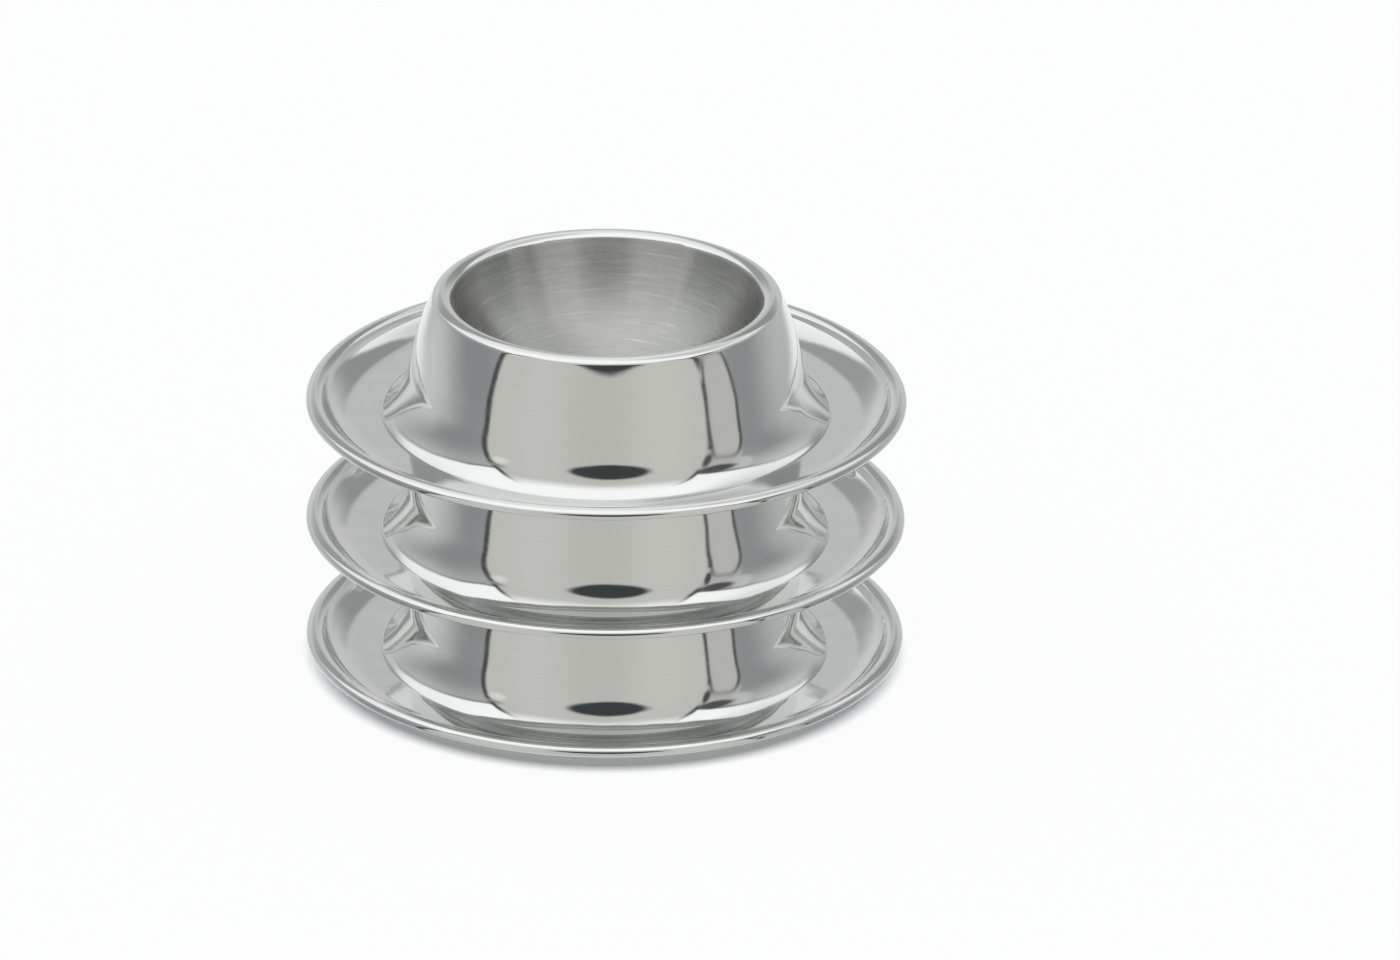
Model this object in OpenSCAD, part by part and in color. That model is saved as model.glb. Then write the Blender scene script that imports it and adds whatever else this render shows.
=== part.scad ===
// Stack of three stainless steel egg cups with built-on saucers.
// Each cup has a polished pressing for saucer, wall and rim, a brushed bowl welded
// into the rim, and a base plate that closes the foot and seats on the cup below.
// Millimetres, +Z up, origin on the table under the middle of the stack.

/* [Cup] */
// Diameter over the saucer's lip
saucer_d = 85; // [70:0.5:102]
// Height of the rim's crest above the table
cup_h = 18.7; // [17.8:0.05:24]
// Thickness of the steel sheet
sheet_t = 0.6; // [0.4:0.05:0.8]

/* [Rim and wall] */
// Diameter of the rim's crest as a share of the saucer's
rim_share = 0.548; // [0.5:0.002:0.58]
// Radius of the rolled rim over its crest
rim_r = 1.6; // [1.2:0.1:1.8]
// Angle round the roll at which the polished rim ends and the bowl begins
seam_a = 145; // [135:1:150]
// Steepness at which the roll runs into the shoulder, measured as its normal's angle
shoulder_a = 25; // [22:1:28]
// Radius of the gently domed shoulder as a share of the cup's height
shoulder_share = 1.9; // [1.5:0.02:2.2]
// Lean of the straight wall under the shoulder, away from upright
wall_a = 11.8; // [9:0.2:16]

/* [Foot and saucer] */
// Radius in which the wall sweeps outward, as a share of the cup's height
sweep_share = 0.59; // [0.45:0.005:0.65]
// Angle at which that sweep ends in the tighter bend of the foot
sweep_a = 48.5; // [42:0.5:58]
// Radius of that tighter bend
foot_r = 0.6; // [0.4:0.1:2]
// Radius of the hollow where the saucer rises to the lip, as a share of its breadth
rise_share = 0.503; // [0.4:0.005:0.6]
// Radius of the lip over its crest as a share of the saucer's breadth
lip_share = 0.129; // [0.11:0.001:0.16]
// Height of the lip's crest above the table
lip_h = 3.6; // [2.9:0.1:4.3]
// Angle at which the lip's outer edge ends, measured as its normal's angle
lip_end_a = 15; // [5:1:30]

/* [Base plate] */
// Height of the plate's seat above the table
seat_h = 0.7; // [0.4:0.05:0.9]
// Radius of the bends where the plate's centre panel steps down
step_r = 0.3; // [0.2:0.05:0.5]
// Radial clearance of that step in the rim below
panel_gap = 0.4; // [0.2:0.05:0.6]

/* [Stack] */
// Clearance between a seat and the rim that it stands over
seat_gap = 0.05; // [0.02:0.01:0.1]

/* [Hidden] */
$fn = 96;

polished_steel = [0.80, 0.81, 0.82];
brushed_steel = [0.62, 0.62, 0.61];
plate_steel = [0.70, 0.71, 0.72];

// Gap left for the weld between rim and bowl, and between base plate and foot
weld_gap = 0.02;
// Gap under the bowl's lowest point
bowl_gap = 0.1;
// Spacing of two cups in the stack
pitch = cup_h - seat_h + seat_gap;

// The roll's centre, and the shoulder that runs down from it
rim_c = [saucer_d * rim_share / 2, cup_h - rim_r];
shoulder_r = cup_h * shoulder_share;
shoulder_c = polar(rim_c, rim_r - shoulder_r, shoulder_a);
// The straight wall under the shoulder is as long as the sweep below it leaves room for
wall_top = polar(shoulder_c, shoulder_r, wall_a);
sweep_r = cup_h * sweep_share;
sweep_fall = sweep_r * (sin(sweep_a) - sin(wall_a)) + foot_r * (1 - sin(sweep_a));
wall_run = (wall_top.y - sheet_t - sweep_fall) / cos(wall_a);
wall_foot = polar(wall_top, wall_run, wall_a - 90);
sweep_c = polar(wall_foot, sweep_r, wall_a);
// The cup stands under the end of the foot's tighter bend
foot_c = polar(sweep_c, sweep_r - foot_r, 180 + sweep_a);
// Radii that follow the saucer's breadth outside the foot
saucer_w = saucer_d / 2 - foot_c.x;
rise_r = saucer_w * rise_share;
lip_r = saucer_w * lip_share;
// Steepest slope of the saucer's side, and the centres above and below it
rise_a = acos(1 - (lip_h - sheet_t) / (rise_r + lip_r));
lip_c = [saucer_d / 2 - lip_r * cos(lip_end_a), lip_h - lip_r];
rise_c = [lip_c.x - (rise_r + lip_r) * sin(rise_a), sheet_t + rise_r];

// The bowl is a ball that runs smoothly out of the roll and just clears the plate
bowl_floor = seat_h + 2 * sheet_t + bowl_gap;
bowl_drop = rim_r - bowl_floor;
bowl_c = (rim_c.x * rim_c.x + rim_c.y * rim_c.y - bowl_drop * bowl_drop)
    / (2 * (bowl_drop + rim_c.y));
bowl_r = bowl_c - bowl_floor;
bowl_a = atan2(rim_c.y - bowl_c, rim_c.x);
weld_a = weld_gap / rim_r * 180 / PI;

// The plate fills the foot at its upper face, and its panel drops inside the rim below
plate_top = seat_h + sheet_t;
low_bend = plate_top < foot_c.y - (foot_r + sheet_t) * sin(sweep_a);
hide_c = low_bend ? foot_c : sweep_c;
hide_r = sheet_t + (low_bend ? foot_r : sweep_r);
plate_r = hide_c.x - sqrt(pow(hide_r, 2) - pow(hide_c.y - plate_top, 2)) - weld_gap;
step_a = acos(1 - seat_h / (2 * step_r + sheet_t));
step_run = (2 * step_r + sheet_t) * sin(step_a);
rim_below = rim_r + seat_gap - seat_h / 2;
panel_r = rim_c.x - sqrt(pow(rim_r, 2) - pow(rim_below, 2)) - panel_gap - step_run / 2;

// How far a drawn arc may leave the true one
arc_error = 0.01;

function polar(c, r, a) = [c.x + r * cos(a), c.y + r * sin(a)];

// The points of an arc about c from angle a to angle b, without its first point
function arc(c, r, a, b) =
    let (steps = ceil(abs(b - a) / (2 * acos(1 - arc_error / r))))
    [for (i = [1 : steps]) polar(c, r, a + (b - a) * i / steps)];

// Saucer, wall and rim pressed from one sheet: down the bright side, round the lip's
// edge, and back along the hidden side
module shell() {
    edge_c = polar(lip_c, lip_r - sheet_t / 2, lip_end_a);
    color(polished_steel)
    rotate_extrude()
    polygon(concat(
        [polar(rim_c, rim_r, seam_a)],
        arc(rim_c, rim_r, seam_a, shoulder_a),
        arc(shoulder_c, shoulder_r, shoulder_a, wall_a),
        [wall_foot],
        arc(sweep_c, sweep_r, 180 + wall_a, 180 + sweep_a),
        arc(foot_c, foot_r, 180 + sweep_a, 270),
        [[rise_c.x, sheet_t]],
        arc(rise_c, rise_r, 270, 270 + rise_a),
        arc(lip_c, lip_r, 90 + rise_a, lip_end_a),
        arc(edge_c, sheet_t / 2, lip_end_a, lip_end_a - 180),
        arc(lip_c, lip_r - sheet_t, lip_end_a, 90 + rise_a),
        arc(rise_c, rise_r + sheet_t, 270 + rise_a, 270),
        [[foot_c.x, 0]],
        arc(foot_c, foot_r + sheet_t, 270, 180 + sweep_a),
        arc(sweep_c, sweep_r + sheet_t, 180 + sweep_a, 180 + wall_a),
        [polar(wall_top, -sheet_t, wall_a)],
        arc(shoulder_c, shoulder_r - sheet_t, wall_a, shoulder_a),
        arc(rim_c, rim_r - sheet_t, shoulder_a, seam_a)
    ));
}

// Bowl for the egg, welded to the inner edge of the rim
module bowl() {
    c = [0, bowl_c];
    roll_start_a = seam_a + weld_a;
    roll_end_a = 180 + bowl_a;
    color(brushed_steel)
    rotate_extrude()
    polygon(concat(
        [polar(rim_c, rim_r, roll_start_a)],
        arc(rim_c, rim_r, roll_start_a, roll_end_a),
        arc(c, bowl_r, bowl_a, -90),
        [[0, bowl_floor - sheet_t]],
        arc(c, bowl_r + sheet_t, -90, bowl_a),
        arc(rim_c, rim_r - sheet_t, roll_end_a, roll_start_a)
    ));
}

// Plate that closes the foot, with a centre panel pressed down to the table
module base_plate() {
    low_c = [panel_r, sheet_t + step_r];
    high_c = [panel_r + step_run, seat_h - step_r];
    color(plate_steel)
    rotate_extrude()
    polygon(concat(
        [[0, 0], [panel_r, 0]],
        arc(low_c, step_r + sheet_t, 270, 270 + step_a),
        arc(high_c, step_r, 90 + step_a, 90),
        [[plate_r, seat_h], [plate_r, plate_top], [high_c.x, plate_top]],
        arc(high_c, step_r + sheet_t, 90, 90 + step_a),
        arc(low_c, step_r, 270 + step_a, 270),
        [[0, sheet_t]]
    ));
}

// A cup's place in the stack, counted from the table
module level(n) {
    translate([0, 0, n * pitch]) children();
}

level(0) shell();  // bottom_shell
level(0) bowl();  // bottom_bowl
level(0) base_plate();  // bottom_base_plate
level(1) shell();  // middle_shell
level(1) bowl();  // middle_bowl
level(1) base_plate();  // middle_base_plate
level(2) shell();  // top_shell
level(2) bowl();  // top_bowl
level(2) base_plate();  // top_base_plate
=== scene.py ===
import math
import bpy
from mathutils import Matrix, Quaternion, Vector


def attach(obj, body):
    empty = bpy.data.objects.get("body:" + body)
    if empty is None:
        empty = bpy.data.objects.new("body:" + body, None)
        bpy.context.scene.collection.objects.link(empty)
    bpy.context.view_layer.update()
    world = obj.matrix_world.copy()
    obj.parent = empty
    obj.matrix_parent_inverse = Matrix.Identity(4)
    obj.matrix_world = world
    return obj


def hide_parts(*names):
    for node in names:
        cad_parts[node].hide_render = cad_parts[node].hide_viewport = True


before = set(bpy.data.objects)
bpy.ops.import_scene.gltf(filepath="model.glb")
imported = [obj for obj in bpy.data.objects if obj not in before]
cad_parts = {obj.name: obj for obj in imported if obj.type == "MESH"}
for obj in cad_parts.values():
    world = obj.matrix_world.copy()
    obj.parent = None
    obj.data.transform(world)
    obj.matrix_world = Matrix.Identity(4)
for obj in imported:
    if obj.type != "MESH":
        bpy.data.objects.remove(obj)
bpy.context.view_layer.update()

mm = 0.001
mergeDistance = 0.001 * mm
smallestReach = 0.01 * mm
levelNames = ["bottom", "middle", "top"]

# sizes of one cup, the same as in its solids
cup = {
    "saucerWidth": 85.0 * mm,      # over the lip
    "height": 18.7 * mm,           # to the rim's crest
    "sheet": 0.6 * mm,
    "rimShare": 0.548,
    "rimRadius": 1.6 * mm,
    "seamAngle": 145.0,            # where the polished rim meets the bowl
    "shoulderAngle": 25.0,
    "shoulderShare": 1.9,
    "wallAngle": 11.8,             # the straight wall's lean
    "sweepShare": 0.59,
    "sweepAngle": 48.5,
    "footRadius": 0.6 * mm,
    "riseShare": 0.503,
    "lipShare": 0.129,
    "lipHeight": 3.6 * mm,
    "lipEndAngle": 15.0,
    "seatHeight": 0.7 * mm,
    "stepRadius": 0.3 * mm,
    "panelGap": 0.4 * mm,
    "seatGap": 0.05 * mm,
    "weldGap": 0.02 * mm,
    "bowlGap": 0.1 * mm,
    "fit": 0.9998,                 # keeps every piece inside its solid
    "stepsAround": 288,
    "sharpAngle": 35.0,            # edges bent by more than this stay sharp
    # degrees of a bend between two points of the outline
    "arcStep": 3.0,
    "fineStep": 1.0,
    "riseStep": 2.0,
    "hiddenSweepStep": 4.0,
    "hiddenStep": 6.0,
    "edgeStep": 10.0,
    # stretches into which the straight runs are cut
    "wallRuns": 8,
    "floorRuns": 3,
}


def polar(centre, radius, angle):
    turn = math.radians(angle)
    return (centre[0] + radius * math.cos(turn), centre[1] + radius * math.sin(turn))


def arc(centre, radius, start, end, step="arcStep"):
    count = max(3, math.ceil(abs(end - start) / cup[step]))
    return [polar(centre, radius, start + (end - start) * i / count) for i in range(count + 1)]


def straight(start, end, count):
    return [tuple(a + (b - a) * i / count for a, b in zip(start, end)) for i in range(1, count)]


# outlines of a cup's three pieces, as points (distance from the axis, height)
def cupOutlines():
    c = cup
    t = c["sheet"]
    shoulderA, wallA, sweepA = c["shoulderAngle"], c["wallAngle"], c["sweepAngle"]
    rimC = (c["saucerWidth"] * c["rimShare"] / 2, c["height"] - c["rimRadius"])
    shoulderR = c["height"] * c["shoulderShare"]
    shoulderC = polar(rimC, c["rimRadius"] - shoulderR, shoulderA)
    wallTop = polar(shoulderC, shoulderR, wallA)
    sweepR = c["height"] * c["sweepShare"]
    footR = c["footRadius"]
    sinWall, sinSweep = math.sin(math.radians(wallA)), math.sin(math.radians(sweepA))
    sweepFall = sweepR * (sinSweep - sinWall) + footR * (1 - sinSweep)
    wallRun = (wallTop[1] - t - sweepFall) / math.cos(math.radians(wallA))
    wallFoot = polar(wallTop, wallRun, wallA - 90)
    sweepC = polar(wallFoot, sweepR, wallA)
    footC = polar(sweepC, sweepR - footR, 180 + sweepA)
    breadth = c["saucerWidth"] / 2 - footC[0]
    riseR, lipR = breadth * c["riseShare"], breadth * c["lipShare"]
    rise = math.degrees(math.acos(1 - (c["lipHeight"] - t) / (riseR + lipR)))
    end = c["lipEndAngle"]
    lipX = c["saucerWidth"] / 2 - lipR * math.cos(math.radians(end))
    lipC = (lipX, c["lipHeight"] - lipR)
    riseC = (lipX - (riseR + lipR) * math.sin(math.radians(rise)), t + riseR)
    edgeC = polar(lipC, lipR - t / 2, end)
    shell = (
        arc(rimC, c["rimRadius"], c["seamAngle"], shoulderA)
        + arc(shoulderC, shoulderR, shoulderA, wallA, "fineStep")[1:]
        + straight(wallTop, wallFoot, c["wallRuns"])
        + arc(sweepC, sweepR, 180 + wallA, 180 + sweepA, "fineStep")
        + arc(footC, footR, 180 + sweepA, 270)[1:]
        + straight((footC[0], t), (riseC[0], t), c["floorRuns"])
        + arc(riseC, riseR, 270, 270 + rise, "riseStep")
        + arc(lipC, lipR, 90 + rise, end)[1:]
        + arc(edgeC, t / 2, end, end - 180, "edgeStep")[1:]
        + arc(lipC, lipR - t, end, 90 + rise, "hiddenStep")[1:]
        + arc(riseC, riseR + t, 270 + rise, 270, "hiddenStep")[1:]
        + [(footC[0], 0)]
        + arc(footC, footR + t, 270, 180 + sweepA, "hiddenStep")[1:]
        + arc(sweepC, sweepR + t, 180 + sweepA, 180 + wallA, "hiddenSweepStep")[1:]
        + arc(shoulderC, shoulderR - t, wallA, shoulderA)
        + arc(rimC, c["rimRadius"] - t, shoulderA, c["seamAngle"], "edgeStep")[1:]
    )
    bowlFloor = c["seatHeight"] + 2 * t + c["bowlGap"]
    drop = c["rimRadius"] - bowlFloor
    bowlZ = (rimC[0] ** 2 + rimC[1] ** 2 - drop ** 2) / (2 * (drop + rimC[1]))
    bowlR = bowlZ - bowlFloor
    bowlA = math.degrees(math.atan2(rimC[1] - bowlZ, rimC[0]))
    seam = c["seamAngle"] + math.degrees(c["weldGap"] / c["rimRadius"])
    bowl = (
        arc((0, bowlZ), bowlR + t, -90, bowlA)
        + arc(rimC, c["rimRadius"] - t, 180 + bowlA, seam, "edgeStep")[1:]
        + arc(rimC, c["rimRadius"], seam, 180 + bowlA)
        + arc((0, bowlZ), bowlR, bowlA, -90, "fineStep")[1:]
    )
    plateTop = c["seatHeight"] + t
    lowBend = plateTop < footC[1] - (footR + t) * sinSweep
    hideC, hideR = (footC, footR + t) if lowBend else (sweepC, sweepR + t)
    plateR = hideC[0] - math.sqrt(hideR ** 2 - (hideC[1] - plateTop) ** 2) - c["weldGap"]
    stepA = math.degrees(math.acos(1 - c["seatHeight"] / (2 * c["stepRadius"] + t)))
    stepRun = (2 * c["stepRadius"] + t) * math.sin(math.radians(stepA))
    rimBelow = c["rimRadius"] + c["seatGap"] - c["seatHeight"] / 2
    seatR = rimC[0] - math.sqrt(c["rimRadius"] ** 2 - rimBelow ** 2)
    panelR = seatR - c["panelGap"] - stepRun / 2
    lowC = (panelR, t + c["stepRadius"])
    highC = (panelR + stepRun, c["seatHeight"] - c["stepRadius"])
    plate = (
        [(0, 0)]
        + arc(lowC, c["stepRadius"] + t, 270, 270 + stepA, "edgeStep")
        + arc(highC, c["stepRadius"], 90 + stepA, 90, "edgeStep")
        + [(plateR, c["seatHeight"]), (plateR, plateTop)]
        + arc(highC, c["stepRadius"] + t, 90, 90 + stepA, "edgeStep")
        + arc(lowC, c["stepRadius"], 270 + stepA, 270, "edgeStep")
        + [(0, t)]
    )
    outlines = {"shell": shell + shell[:1], "bowl": bowl, "base_plate": plate}
    return {
        part: [(x * c["fit"], z * c["fit"]) for x, z in points]
        for part, points in outlines.items()
    }


pieceNames = {"shell": "saucer_and_rim", "bowl": "egg_bowl", "base_plate": "foot_plate"}

studio = {
    "viewHeight": 23.5,            # degrees above the table
    "viewTurn": 0.61,              # the picture's slight tilt
    "distance": 1.8,
    "pictureWidth": 1400,          # pixels
    "millimetresPerPixel": 0.1417,
    "sensorWidth": 36,
    "clip": (0.1, 20),
    "aimX": 13.35 * mm,
    "aimZ": 26.15 * mm,
    "floorSize": 4.0,
    "floorDrop": 0.02 * mm,        # keeps the table clear of the feet
    "floorColour": (0.84, 0.885, 0.915),
    "floorRoughness": 0.9,
    "shadowReach": (40.2 * mm, 43.1 * mm),   # the shadow on the table fades out between these
    "shadowLeft": 0.06,            # of it beyond
    "skyColour": (1.42, 1.45, 1.45),
    "tentLight": 0.77,             # brightness of the whole tent
    "glossyBounces": 10,
}


def addNode(tree, kind, **settings):
    node = tree.nodes.new(kind)
    for name, value in settings.items():
        setattr(node, name, value)
    return node


def lineMesh(name, points):
    mesh = bpy.data.meshes.new(name)
    edges = [(i, i + 1) for i in range(len(points) - 1)]
    mesh.from_pydata([(x, 0, z) for x, z in points], edges, [])
    return mesh


def signedArea(points):
    return sum(a[0] * b[1] - b[0] * a[1] for a, b in zip(points, points[1:] + points[:1])) / 2


# Geometry Nodes that spin an outline about the Z axis into a closed piece
def revolveTree():
    tree = bpy.data.node_groups.new("spin_outline", "GeometryNodeTree")
    face = tree.interface
    face.new_socket("Outline", in_out="INPUT", socket_type="NodeSocketGeometry")
    steps = face.new_socket("Steps Around", in_out="INPUT", socket_type="NodeSocketInt")
    lift = face.new_socket("Lift", in_out="INPUT", socket_type="NodeSocketFloat")
    sharp = face.new_socket("Sharp Angle", in_out="INPUT", socket_type="NodeSocketFloat")
    finish = face.new_socket("Finish", in_out="INPUT", socket_type="NodeSocketMaterial")
    face.new_socket("Piece", in_out="OUTPUT", socket_type="NodeSocketGeometry")
    start = addNode(tree, "NodeGroupInput")
    end = addNode(tree, "NodeGroupOutput")
    link = tree.links.new

    def calc(operation, a, b=None):
        node = addNode(tree, "ShaderNodeMath", operation=operation)
        for socket, value in zip(node.inputs, (a, b)):
            if isinstance(value, (int, float)):
                socket.default_value = value
            elif value is not None:
                link(value, socket)
        return node.outputs[0]

    count = addNode(tree, "GeometryNodeAttributeDomainSize", component="MESH")
    link(start.outputs["Outline"], count.inputs["Geometry"])
    grid = addNode(tree, "GeometryNodeMeshGrid")
    grid.inputs["Size X"].default_value = 1
    grid.inputs["Size Y"].default_value = 1
    link(calc("ADD", start.outputs["Steps Around"], 1), grid.inputs["Vertices X"])
    link(count.outputs["Point Count"], grid.inputs["Vertices Y"])
    place = addNode(tree, "GeometryNodeInputPosition")
    parts = addNode(tree, "ShaderNodeSeparateXYZ")
    link(place.outputs[0], parts.inputs[0])
    lastRow = calc("SUBTRACT", count.outputs["Point Count"], 1)
    row = calc("MULTIPLY", calc("ADD", parts.outputs["Y"], 0.5), lastRow)
    sample = addNode(tree, "GeometryNodeSampleIndex", data_type="FLOAT_VECTOR", domain="POINT")
    link(start.outputs["Outline"], sample.inputs["Geometry"])
    outlinePlace = addNode(tree, "GeometryNodeInputPosition")
    link(outlinePlace.outputs[0], sample.inputs["Value"])
    link(calc("ROUND", row), sample.inputs["Index"])
    turn = addNode(tree, "ShaderNodeVectorRotate", rotation_type="Z_AXIS")
    link(sample.outputs[0], turn.inputs["Vector"])
    link(calc("MULTIPLY", calc("ADD", parts.outputs["X"], 0.5), 2 * math.pi), turn.inputs["Angle"])
    raised = addNode(tree, "ShaderNodeCombineXYZ")
    link(start.outputs["Lift"], raised.inputs["Z"])
    total = addNode(tree, "ShaderNodeVectorMath", operation="ADD")
    link(turn.outputs[0], total.inputs[0])
    link(raised.outputs[0], total.inputs[1])
    placed = addNode(tree, "GeometryNodeSetPosition")
    link(grid.outputs["Mesh"], placed.inputs["Geometry"])
    link(total.outputs[0], placed.inputs["Position"])
    joined = addNode(tree, "GeometryNodeMergeByDistance")
    joined.inputs["Distance"].default_value = mergeDistance
    link(placed.outputs[0], joined.inputs["Geometry"])
    smooth = addNode(tree, "GeometryNodeSetShadeSmooth", domain="FACE")
    link(joined.outputs[0], smooth.inputs["Geometry"])
    corner = addNode(tree, "GeometryNodeInputMeshEdgeAngle")
    edges = addNode(tree, "GeometryNodeSetShadeSmooth", domain="EDGE")
    link(smooth.outputs[0], edges.inputs["Geometry"])
    bent = calc("GREATER_THAN", corner.outputs["Unsigned Angle"], start.outputs["Sharp Angle"])
    link(bent, edges.inputs["Selection"])
    edges.inputs["Shade Smooth"].default_value = False
    real = addNode(tree, "GeometryNodeRealizeInstances")
    link(edges.outputs[0], real.inputs[0])
    coat = addNode(tree, "GeometryNodeSetMaterial")
    link(real.outputs[0], coat.inputs["Geometry"])
    link(start.outputs["Finish"], coat.inputs["Material"])
    link(coat.outputs[0], end.inputs["Piece"])
    sockets = {"steps": steps, "lift": lift, "sharp": sharp, "finish": finish}
    return tree, {key: socket.identifier for key, socket in sockets.items()}


polishedLook = {
    "colour": (0.8, 0.808, 0.8),
    "roughness": 0.06,
    "marks": 0.02,                 # how far the roughness varies
    "ringsPerMillimetre": 3.5,
    "turns": 0.6,                  # how fast a hairline changes on its way round
    "slope": 0.5,                  # share of the height in the hairlines' spacing
    "hairs": 0.018,                # how far they vary the colour
    "hairRelief": 0.004,
    "hairDetail": 4.0,
    "markLevels": (0.7, 1.3),
    "cloudScale": 180,
    "waveScale": 130,
    "waveDetail": 1.0,
    "waves": 0.08 * mm,            # depth of the faint waviness left by polishing
}

brushedLook = {
    "colour": (0.52, 0.52, 0.51),
    "roughness": 0.27,
    "marks": 0.04,
    "markLevels": (0.6, 1.4),
    "stretch": 1.0,                # how far highlights fan out across the rings
    "ringsPerMillimetre": 4.0,
    "turns": 3.0,
    "streaks": 0.13,
    "scratches": 0.3,
    "depth": 0.04 * mm,
}

plateLook = {
    "colour": (0.715, 0.715, 0.715),
    "roughness": 0.2,
    "marks": 0.05,
    "markLevels": (0.6, 1.4),
    "stretch": 0.6,
    "ringsPerMillimetre": 1.2,
    "turns": 0.3,
    "streaks": 0.07,
    "scratches": 0.1,
    "depth": 0.05 * mm,
}

# shared by the two steels whose rings can be seen
ringLook = {
    "hairDetail": 5.0,
    "hairRoughness": 0.65,
    "cloudScale": 90,
    "scratchSpacing": 0.9,         # scratches run longer and lie wider than the hairlines
    "scratchTurns": 0.4,
    "scratchLevels": (0.6, 0.72),
    "scratchRoughness": 0.6,
    "quarterTurn": 0.25,           # lays the highlights across the rings
    "relief": 0.15,
}

# most of a noise lies between these
noiseLevels = (0.25, 0.75)


def newMaterial(name):
    material = bpy.data.materials.new(name)
    material.use_nodes = True
    tree = material.node_tree
    return material, tree, tree.nodes["Principled BSDF"]


def mathNode(tree, operation, *values):
    node = addNode(tree, "ShaderNodeMath", operation=operation)
    for socket, value in zip(node.inputs, values):
        if isinstance(value, (int, float)):
            socket.default_value = value
        else:
            tree.links.new(value, socket)
    return node.outputs[0]


def mapped(tree, value, low, high, newLow, newHigh):
    node = addNode(tree, "ShaderNodeMapRange")
    tree.links.new(value, node.inputs["Value"])
    limits = {"From Min": low, "From Max": high, "To Min": newLow, "To Max": newHigh}
    for name, number in limits.items():
        node.inputs[name].default_value = number
    return node.outputs["Result"]


def noise(tree, vector, scale, detail=3.0, roughness=0.5):
    node = addNode(tree, "ShaderNodeTexNoise")
    tree.links.new(vector, node.inputs["Vector"])
    node.inputs["Scale"].default_value = scale
    node.inputs["Detail"].default_value = detail
    node.inputs["Roughness"].default_value = roughness
    return node.outputs["Fac"]


# where a point of a piece lies, and how it lies round the axis
def axisCoordinates(tree):
    place = addNode(tree, "ShaderNodeTexCoord").outputs["Object"]
    split = addNode(tree, "ShaderNodeSeparateXYZ")
    tree.links.new(place, split.inputs[0])
    x, y = split.outputs["X"], split.outputs["Y"]
    squares = [mathNode(tree, "MULTIPLY", side, side) for side in (x, y)]
    reach = mathNode(tree, "SQRT", mathNode(tree, "ADD", *squares))
    safe = mathNode(tree, "MAXIMUM", reach, smallestReach)
    return {
        "place": place,
        "reach": reach,
        "height": split.outputs["Z"],
        "cosine": mathNode(tree, "DIVIDE", x, safe),
        "sine": mathNode(tree, "DIVIDE", y, safe),
    }


# coordinates in which a noise becomes hairlines running round the axis
def ringVector(tree, at, perMillimetre, turns, slope=0.0):
    lowered = mathNode(tree, "MULTIPLY", at["height"], slope)
    along = mathNode(tree, "SUBTRACT", at["reach"], lowered)
    rings = addNode(tree, "ShaderNodeCombineXYZ")
    tree.links.new(mathNode(tree, "MULTIPLY", along, perMillimetre / mm), rings.inputs["X"])
    tree.links.new(mathNode(tree, "MULTIPLY", at["cosine"], turns), rings.inputs["Y"])
    tree.links.new(mathNode(tree, "MULTIPLY", at["sine"], turns), rings.inputs["Z"])
    return rings.outputs[0]


def tinted(tree, shader, colour, factor):
    node = addNode(tree, "ShaderNodeVectorMath", operation="SCALE")
    node.inputs[0].default_value = colour
    tree.links.new(factor, node.inputs["Scale"])
    tree.links.new(node.outputs[0], shader.inputs["Base Color"])


def roughened(tree, shader, look, value):
    low, high = look["roughness"] - look["marks"], look["roughness"] + look["marks"]
    rough = mapped(tree, value, *look["markLevels"], low, high)
    tree.links.new(rough, shader.inputs["Roughness"])


def bumped(tree, shader, height, strength, distance):
    bump = addNode(tree, "ShaderNodeBump")
    bump.inputs["Strength"].default_value = strength
    bump.inputs["Distance"].default_value = distance
    tree.links.new(height, bump.inputs["Height"])
    tree.links.new(bump.outputs[0], shader.inputs["Normal"])


# mirror-bright steel with the faint hairlines and waviness of polishing
def polishedSteel():
    look = polishedLook
    material, tree, shader = newMaterial("polished_steel_finish")
    at = axisCoordinates(tree)
    rings = ringVector(tree, at, look["ringsPerMillimetre"], look["turns"], look["slope"])
    shader.inputs["Metallic"].default_value = 1
    cloud = noise(tree, at["place"], look["cloudScale"])
    waves = noise(tree, at["place"], look["waveScale"], look["waveDetail"])
    fine = noise(tree, rings, 1.0, look["hairDetail"])
    shade = mapped(tree, fine, *noiseLevels, 1 - look["hairs"], 1 + look["hairs"])
    tinted(tree, shader, look["colour"], shade)
    roughened(tree, shader, look, mathNode(tree, "ADD", fine, cloud))
    relief = mathNode(tree, "MULTIPLY", fine, look["hairRelief"])
    bumped(tree, shader, mathNode(tree, "ADD", relief, waves), 1.0, look["waves"])
    return material


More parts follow.
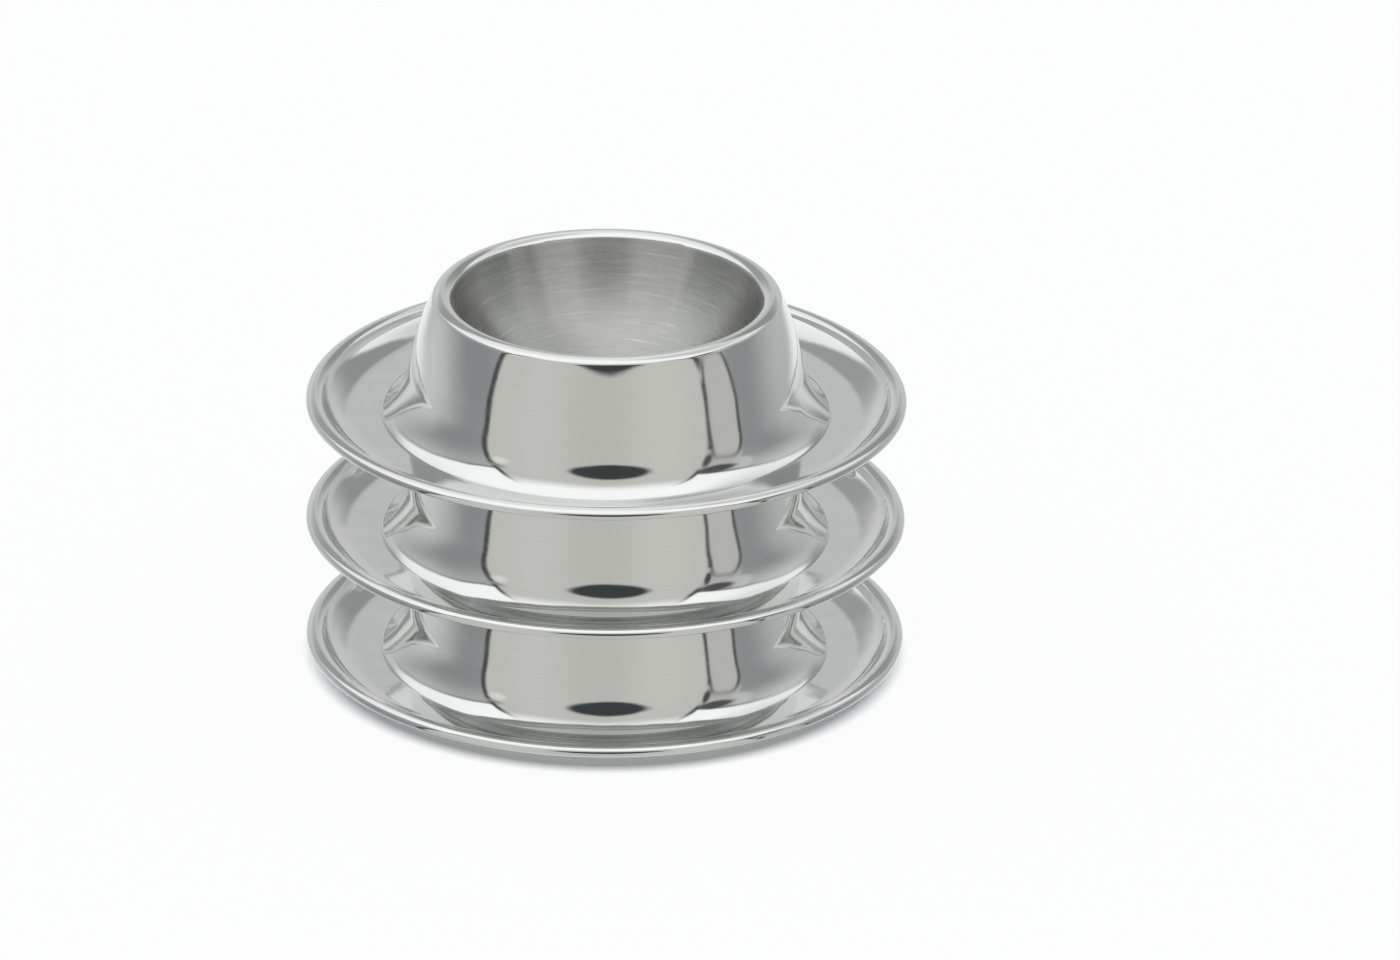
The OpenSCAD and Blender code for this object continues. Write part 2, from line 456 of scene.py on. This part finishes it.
# steel turned or brushed in rings: hairlines in its colour, roughness and relief
def ringSteel(name, look):
    material, tree, shader = newMaterial(name)
    at = axisCoordinates(tree)
    spacing, turns = look["ringsPerMillimetre"], look["turns"]
    rings = ringVector(tree, at, spacing, turns)
    longRings = ringVector(
        tree, at, spacing * ringLook["scratchSpacing"], turns * ringLook["scratchTurns"]
    )
    shader.inputs["Metallic"].default_value = 1
    hairs = noise(tree, rings, 1.0, ringLook["hairDetail"], ringLook["hairRoughness"])
    cloud = noise(tree, at["place"], ringLook["cloudScale"])
    marks = noise(tree, longRings, 1.0, roughness=ringLook["scratchRoughness"])
    scratch = mapped(tree, marks, *ringLook["scratchLevels"], 0, look["scratches"])
    shade = mapped(tree, hairs, *noiseLevels, 1 - look["streaks"], 1 + look["streaks"])
    tinted(tree, shader, look["colour"], mathNode(tree, "ADD", shade, scratch))
    roughened(tree, shader, look, mathNode(tree, "ADD", hairs, cloud))
    shader.inputs["Anisotropic"].default_value = look["stretch"]
    shader.inputs["Anisotropic Rotation"].default_value = ringLook["quarterTurn"]
    tangent = addNode(tree, "ShaderNodeTangent", direction_type="RADIAL", axis="Z")
    tree.links.new(tangent.outputs[0], shader.inputs["Tangent"])
    bumped(tree, shader, hairs, ringLook["relief"], look["depth"])
    return material


outlines = cupOutlines()
tree, keys = revolveTree()
materials = {
    "shell": polishedSteel(),
    "bowl": ringSteel("brushed_steel_finish", brushedLook),
    "base_plate": ringSteel("plate_steel_finish", plateLook),
}
print("steels made")
pitch = (cup["height"] - cup["seatHeight"] + cup["seatGap"]) * cup["fit"]
for level, levelName in enumerate(levelNames):
    for part, outline in outlines.items():
        points = outline if signedArea(outline) > 0 else outline[::-1]
        source = bpy.data.objects.new("outline", lineMesh("outline", points))
        bpy.context.scene.collection.objects.link(source)
        modifier = source.modifiers.new("spin", "NODES")
        modifier.node_group = tree
        modifier[keys["steps"]] = cup["stepsAround"]
        modifier[keys["lift"]] = level * pitch
        modifier[keys["sharp"]] = math.radians(cup["sharpAngle"])
        modifier[keys["finish"]] = materials[part]
        graph = bpy.context.evaluated_depsgraph_get()
        mesh = bpy.data.meshes.new_from_object(
            source.evaluated_get(graph), preserve_all_data_layers=True, depsgraph=graph
        )
        bpy.data.objects.remove(source)
        piece = bpy.data.objects.new(f"{levelName}_{pieceNames[part]}", mesh)
        bpy.context.scene.collection.objects.link(piece)
        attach(piece, f"{levelName}_cup")
        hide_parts(f"{levelName}_{part}")
    print("cup", levelName, "made")


# white to the eye but for the shadow under the cups, and clear from below,
# so that the feet can be looked at
def tableWhite():
    material, tree, shader = newMaterial("table_white")
    shader.inputs["Base Color"].default_value = (*studio["floorColour"], 1)
    shader.inputs["Roughness"].default_value = studio["floorRoughness"]
    fromMiddle = axisCoordinates(tree)["reach"]
    glow = mapped(tree, fromMiddle, *studio["shadowReach"], 0, 1 - studio["shadowLeft"])
    rays = addNode(tree, "ShaderNodeLightPath").outputs
    straightOn = mathNode(tree, "MAXIMUM", rays["Is Camera Ray"], rays["Is Glossy Ray"])
    seen = mathNode(tree, "MAXIMUM", straightOn, rays["Is Transmission Ray"])
    plainWhite = addNode(tree, "ShaderNodeEmission")
    plainWhite.inputs["Color"].default_value = (1, 1, 1, 1)
    lit = addNode(tree, "ShaderNodeMixShader")
    tree.links.new(mathNode(tree, "MULTIPLY", glow, seen), lit.inputs[0])
    tree.links.new(shader.outputs[0], lit.inputs[1])
    tree.links.new(plainWhite.outputs[0], lit.inputs[2])
    side = addNode(tree, "ShaderNodeNewGeometry")
    clear = addNode(tree, "ShaderNodeBsdfTransparent")
    oneSided = addNode(tree, "ShaderNodeMixShader")
    tree.links.new(side.outputs["Backfacing"], oneSided.inputs[0])
    tree.links.new(lit.outputs[0], oneSided.inputs[1])
    tree.links.new(clear.outputs[0], oneSided.inputs[2])
    tree.links.new(oneSided.outputs[0], tree.nodes["Material Output"].inputs["Surface"])
    return material


size = studio["floorSize"]
corners = [(-size, -size, 0), (size, -size, 0), (size, size, 0), (-size, size, 0)]
floorMesh = bpy.data.meshes.new("table_top")
floorMesh.from_pydata(corners, [], [(0, 1, 2, 3)])
floorMesh.materials.append(tableWhite())
floor = bpy.data.objects.new("table_top", floorMesh)
floor.location.z = -studio["floorDrop"]
bpy.context.scene.collection.objects.link(floor)
floor.visible_glossy = False       # the steel mirrors the lower half of the tent instead
print("table made")

# The tent round the cups: soft screens painted over one another by direction, in degrees.
# Azimuth 0 is towards the camera and grows to its right; height 0 is the horizon.
# azimuth, height, half width, half height, turn, squareness, softness, brightness, warmth
screens = [
    # side panels: a dark edge, the panel, its darker middle and lighter end
    (-62, -20, 93.5, 57.5, 0, 2, 1.2, 0.30, -0.01),
    (62, -20, 98.5, 60.6, 0, 2, 1.2, 0.24, -0.01),
    (-62, -20, 91.5, 55.6, 0, 2, 1.2, 0.58, -0.02),
    (62, -20, 96.5, 58.6, 0, 2, 1.4, 0.58, -0.02),
    (-62, -20, 80, 45, 0, 2, 8, 0.50, -0.02),
    (62, -20, 84, 46, 0, 2, 8, 0.48, -0.02),
    (-88, 4, 22, 18, 0, 2, 12, 0.38, -0.015),
    (96, 4, 20, 22, 0, 2, 12, 0.40, -0.015),
    (-128, -10, 26, 14, 0, 2, 12, 0.84, -0.02),
    (132, -6, 26, 16, 0, 2, 12, 0.68, -0.02),
    # front wall of the tent inside its dark seam, with lighter and darker folds
    (-4.7, -20, 67.6, 92, 0, 3.5, 0.8, 0.10, -0.01),
    (68, 24, 14, 14, 0, 3, 2, 0.66, 0.03),
    (-4.7, -20, 64.3, 90, 0, 3.5, 1.1, 0.79, 0.05),
    (-40, 0, 11, 60, 0, 2, 10, 0.83, 0.04),
    (-3, 5, 15, 40, 0, 2, 10, 0.74, 0.05),
    (34, 0, 12, 50, 0, 2, 10, 0.83, 0.05),
    # its narrow flap, the light patch and the dark corner over the flap
    (71, -30, 11.0, 53.2, 0, 5, 0.8, 0.13, 0.0),
    (60.2, 25, 2.2, 8, 0, 2, 0.9, 0.10, 0.0),
    (70.8, -30, 9.0, 52, 0, 5, 0.8, 0.71, 0.04),
    (84, 31, 8, 6, 0, 2, 2, 0.74, -0.01),
    (68.5, 35.5, 12, 4.5, -12, 1.6, 1.4, 0.12, 0.0),
    (-66, 33, 5, 1.6, 20, 2, 1, 0.4, 0.0),
    (-62, 26.5, 5, 4, 0, 2, 1.8, 1.02, 0.06),
    # bright roof, sloping down to both sides, and the duller sky behind
    (0, 103.5, 500, 45, 9, 2, 7, 1.48, -0.01),
    (0, 103.5, 500, 45, -9, 2, 7, 1.48, -0.01),
    (176, 50, 72, 30, 0, 2.5, 14, 1.20, -0.02),
    (118, 64, 32, 20, 0, 2, 14, 0.86, -0.02),
    # grey lobes of the back wall and the lit floor under them
    (180, 12, 46, 28, 0, 2.5, 9, 0.73, -0.01),
    (-155, 30, 21, 17, -8, 2.3, 4, 0.49, -0.015),
    (152, 28, 19, 19, 0, 2.3, 4, 0.43, -0.015),
    (-168, 10, 20, 11, 0, 2, 9, 0.90, 0.0),
    (168, 10, 20, 11, 0, 2, 9, 0.82, 0.0),
    (180, -53, 66, 43, 0, 3, 5, 1.22, -0.03),
    # dark opening in the front wall
    (3, 34, 24, 10.5, 0, 1.8, 1.6, 0.075, -0.012),
]


screenSockets = (
    "Centre Azimuth", "Centre Height", "Half Width", "Half Height",
    "Turn", "Squareness", "Softness",
)


# node group that paints one soft screen over what lies under it
def screenTree():
    tree = bpy.data.node_groups.new("soft_screen", "ShaderNodeTree")
    face = tree.interface
    for name in ("Azimuth", "Height", *screenSockets):
        face.new_socket(name, in_out="INPUT", socket_type="NodeSocketFloat")
    face.new_socket("Under", in_out="INPUT", socket_type="NodeSocketColor")
    face.new_socket("Over", in_out="INPUT", socket_type="NodeSocketColor")
    face.new_socket("Result", in_out="OUTPUT", socket_type="NodeSocketColor")
    start = addNode(tree, "NodeGroupInput")
    end = addNode(tree, "NodeGroupOutput")
    given = start.outputs

    def calc(operation, *values):
        return mathNode(tree, operation, *values)

    across = calc("WRAP", calc("SUBTRACT", given["Azimuth"], given["Centre Azimuth"]), 180, -180)
    up = calc("SUBTRACT", given["Height"], given["Centre Height"])
    turn = calc("RADIANS", given["Turn"])
    cosine, sine = calc("COSINE", turn), calc("SINE", turn)
    along = calc("ADD", calc("MULTIPLY", across, cosine), calc("MULTIPLY", up, sine))
    beside = calc("SUBTRACT", calc("MULTIPLY", up, cosine), calc("MULTIPLY", across, sine))
    power = given["Squareness"]
    wide = calc("POWER", calc("DIVIDE", calc("ABSOLUTE", along), given["Half Width"]), power)
    tall = calc("POWER", calc("DIVIDE", calc("ABSOLUTE", beside), given["Half Height"]), power)
    reach = calc("POWER", calc("ADD", wide, tall), calc("DIVIDE", 1.0, power))
    smaller = calc("MINIMUM", given["Half Width"], given["Half Height"])
    outside = calc("MULTIPLY", calc("SUBTRACT", reach, 1.0), smaller)
    edge = addNode(tree, "ShaderNodeMapRange", interpolation_type="SMOOTHSTEP")
    tree.links.new(outside, edge.inputs["Value"])
    tree.links.new(calc("MULTIPLY", given["Softness"], -1.0), edge.inputs["From Min"])
    tree.links.new(given["Softness"], edge.inputs["From Max"])
    edge.inputs["To Min"].default_value = 1
    edge.inputs["To Max"].default_value = 0
    blend = addNode(tree, "ShaderNodeMix", data_type="RGBA")
    tree.links.new(edge.outputs["Result"], blend.inputs[0])
    tree.links.new(given["Under"], blend.inputs[6])
    tree.links.new(given["Over"], blend.inputs[7])
    tree.links.new(blend.outputs[2], end.inputs["Result"])
    return tree


def paintWorld(world):
    world.use_nodes = True
    tree = world.node_tree
    place = addNode(tree, "ShaderNodeTexCoord")
    split = addNode(tree, "ShaderNodeSeparateXYZ")
    tree.links.new(place.outputs["Generated"], split.inputs[0])
    away = mathNode(tree, "MULTIPLY", split.outputs["Y"], -1.0)
    azimuth = mathNode(tree, "DEGREES", mathNode(tree, "ARCTAN2", split.outputs["X"], away))
    height = mathNode(tree, "DEGREES", mathNode(tree, "ARCSINE", split.outputs["Z"]))
    group = screenTree()
    light = studio["tentLight"]
    sky = addNode(tree, "ShaderNodeRGB")
    sky.outputs[0].default_value = (*(light * part for part in studio["skyColour"]), 1)
    colour = sky.outputs[0]
    for screen in screens:
        node = addNode(tree, "ShaderNodeGroup", node_tree=group)
        tree.links.new(azimuth, node.inputs["Azimuth"])
        tree.links.new(height, node.inputs["Height"])
        for name, value in zip(screenSockets, screen):
            node.inputs[name].default_value = value
        bright, warm = screen[7:]
        tree.links.new(colour, node.inputs["Under"])
        tint = (bright + min(warm, 0), bright, bright - max(warm, 0))
        node.inputs["Over"].default_value = (*(light * part for part in tint), 1)
        colour = node.outputs[0]
    rays = addNode(tree, "ShaderNodeLightPath")
    seen = addNode(tree, "ShaderNodeMix", data_type="RGBA")
    tree.links.new(rays.outputs["Is Camera Ray"], seen.inputs[0])
    tree.links.new(colour, seen.inputs[6])
    seen.inputs[7].default_value = (1, 1, 1, 1)
    tree.links.new(seen.outputs[2], tree.nodes["Background"].inputs["Color"])


world = bpy.data.worlds.new("studio")
bpy.context.scene.world = world
paintWorld(world)
# soft screens need no light map, which would only cost time
world.cycles.sampling_method = "NONE"
# polished saucers close together mirror one another many times
bpy.context.scene.cycles.glossy_bounces = studio["glossyBounces"]
print("tent made")

# camera
height = math.radians(studio["viewHeight"])
aim = Vector((studio["aimX"], 0, studio["aimZ"]))
back = Vector((0, -math.cos(height), math.sin(height)))
cameraData = bpy.data.cameras.new("camera")
viewWidth = studio["pictureWidth"] * studio["millimetresPerPixel"] * mm
cameraData.sensor_width = studio["sensorWidth"]
cameraData.lens = studio["sensorWidth"] * studio["distance"] / viewWidth
cameraData.clip_start, cameraData.clip_end = studio["clip"]
camera = bpy.data.objects.new("camera", cameraData)
bpy.context.scene.collection.objects.link(camera)
camera.rotation_mode = "QUATERNION"
camera.location = aim + back * studio["distance"]
turned = (-back).to_track_quat("-Z", "Y")
camera.rotation_quaternion = turned @ Quaternion((0, 0, 1), math.radians(studio["viewTurn"]))
bpy.context.scene.camera = camera
bpy.context.scene.view_settings.view_transform = "Standard"
print("camera set")
